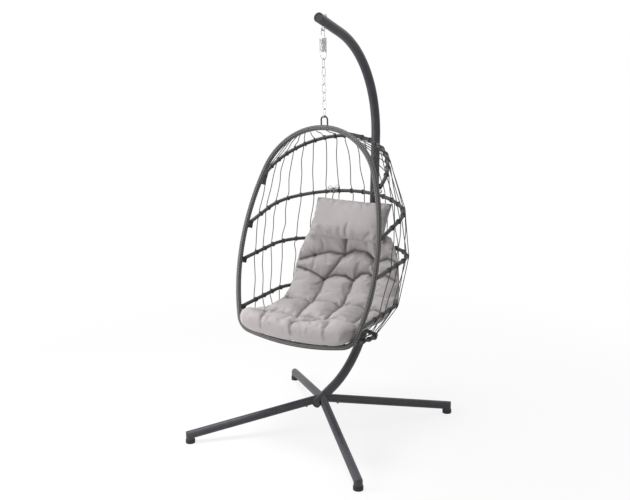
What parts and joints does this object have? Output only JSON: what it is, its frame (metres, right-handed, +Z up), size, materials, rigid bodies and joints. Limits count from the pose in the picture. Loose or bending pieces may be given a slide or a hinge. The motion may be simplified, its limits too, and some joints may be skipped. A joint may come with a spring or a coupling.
{
  "type": "hanging egg chair",
  "caption": "Egg-shaped hanging basket seat with wound hoop, ribs and cords, a tufted cushion and pillow, hung by spring and chain from a bent pole stand on crossed legs.",
  "frame": {"origin": "on the floor, in the middle of the chair's outline seen from above", "axes": "+Z up, +Y towards the pole behind the basket, +X to the right seen from the front"},
  "size_m": [0.9586, 1.0617, 1.9696],
  "materials": {
    "stand_paint": "anthracite powder coat, fine texture, satin",
    "frame_paint": "dark powder coat under the weave",
    "loop_paint": "dark coated rod",
    "foot_rubber": "matt black rubber",
    "black_plastic": "black moulded plastic",
    "bolt_steel": "blackened steel",
    "zinc": "bright zinc plate",
    "hoop_wicker": "grey plastic wicker wound round the hoop",
    "rib_wicker": "dark plastic wicker wound round the ribs",
    "basket_cord": "grey braided cord",
    "cushion_fabric": "light warm grey woven polyester",
    "tie_cord": "grey ribbon"
  },
  "bodies": {
    "stand": {"leg_front_left": "stand_paint", "leg_front_right": "stand_paint", "leg_back_right": "stand_paint", "leg_back_left": "stand_paint", "foot_front_left": "foot_rubber", "foot_front_right": "foot_rubber", "foot_back_right": "foot_rubber", "foot_back_left": "foot_rubber", "leg_bolts": "bolt_steel", "lower_pole": "stand_paint", "upper_pole": "stand_paint", "pole_joint_bolts": "bolt_steel", "pole_joint_nuts": "bolt_steel", "pole_tip_cap": "black_plastic", "pole_foot_cap": "black_plastic", "eye_bolt": "zinc", "eye_washer": "zinc", "eye_nut": "zinc"},
    "spring": {"hanger_spring": "zinc"},
    "link_1": {"chain_link_1": "zinc"},
    "link_2": {"chain_link_2": "zinc"},
    "links_3_4": {"chain_link_3": "zinc", "chain_link_4": "zinc"},
    "links_5_6": {"chain_link_5": "zinc", "chain_link_6": "zinc"},
    "link_7": {"chain_link_7": "zinc"},
    "basket": {"hanging_loop": "loop_paint", "hoop_tube": "frame_paint", "hoop_wicker": "hoop_wicker", "rib_one_bar": "frame_paint", "rib_two_bar": "frame_paint", "rib_three_bar": "frame_paint", "rib_four_bar": "frame_paint", "rib_five_bar": "frame_paint", "rib_one_wicker": "rib_wicker", "rib_two_wicker": "rib_wicker", "rib_three_wicker": "rib_wicker", "rib_four_wicker": "rib_wicker", "rib_five_wicker": "rib_wicker", "rib_lugs": "frame_paint", "rib_bolts": "bolt_steel", "rib_end_plugs": "black_plastic", "cords_left": "basket_cord", "cords_rear": "basket_cord", "cords_right": "basket_cord", "seat_cushion": "cushion_fabric", "headrest_pillow": "cushion_fabric", "pillow_ties": "tie_cord"}
  },
  "joints": [
    {"name": "swing_fore_aft", "type": "hinge", "parent": "stand", "child": "spring", "pos_m": [0, 0.0132, 1.88867], "axis": [1, 0, 0], "range_deg": [-12, 3]},
    {"name": "spring_stretch", "type": "slide", "parent": "spring", "child": "link_1", "axis": [0, 0, -1], "range_m": [0, 0.02], "stiffness_N_per_m": 25000, "springref_m": -0.016, "deforming": ["hanger_spring"]},
    {"name": "swing_sideways", "type": "hinge", "parent": "link_1", "child": "link_2", "pos_m": [0, 0.0132, 1.72842], "axis": [0, 1, 0], "range_deg": [-8, 8]},
    {"name": "chain_turn_upper", "type": "hinge", "parent": "link_2", "child": "links_3_4", "pos_m": [0, 0.0132, 1.69122], "axis": [0, 0, 1], "range_deg": [-12, 12]},
    {"name": "chain_turn_middle", "type": "hinge", "parent": "links_3_4", "child": "links_5_6", "pos_m": [0, 0.0132, 1.61682], "axis": [0, 0, 1], "range_deg": [-12, 12]},
    {"name": "chain_turn_lower", "type": "hinge", "parent": "links_5_6", "child": "link_7", "pos_m": [0, 0.0132, 1.54242], "axis": [0, 0, 1], "range_deg": [-12, 12]},
    {"name": "basket_tilt", "type": "hinge", "parent": "link_7", "child": "basket", "pos_m": [0, 0.0132, 1.50917], "axis": [1, 0, 0], "range_deg": [-4, 2]}
  ]
}
